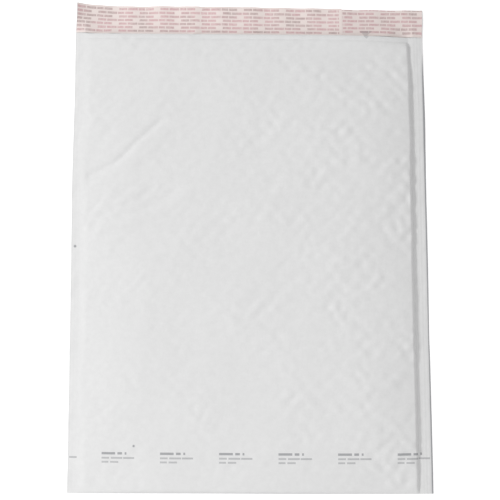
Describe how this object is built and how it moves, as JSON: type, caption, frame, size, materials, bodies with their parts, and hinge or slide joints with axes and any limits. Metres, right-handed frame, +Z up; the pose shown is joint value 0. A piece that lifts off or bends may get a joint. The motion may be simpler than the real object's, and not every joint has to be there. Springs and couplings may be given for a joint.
{
  "type": "padded envelope",
  "caption": "Large padded mailing envelope, empty and lying on its back with its flap open: a folded paper cover, a bubble film lining, an adhesive strip and its release liner.",
  "frame": {"origin": "middle of the envelope's box on the surface that its back lies on", "axes": "+X across the envelope to the right, +Y from the bottom fold to the flap, +Z up out of the front"},
  "size_m": [0.36, 0.5, 0.0159],
  "materials": {
    "cover_paper": "matte",
    "bubble_film": "gloss",
    "adhesive": "gloss",
    "liner_paper": "satin"
  },
  "bodies": {
    "root": {"paper_shell": "cover_paper", "bubble_lining": "bubble_film", "adhesive_strip": "adhesive", "release_liner": "liner_paper"}
  },
  "joints": []
}
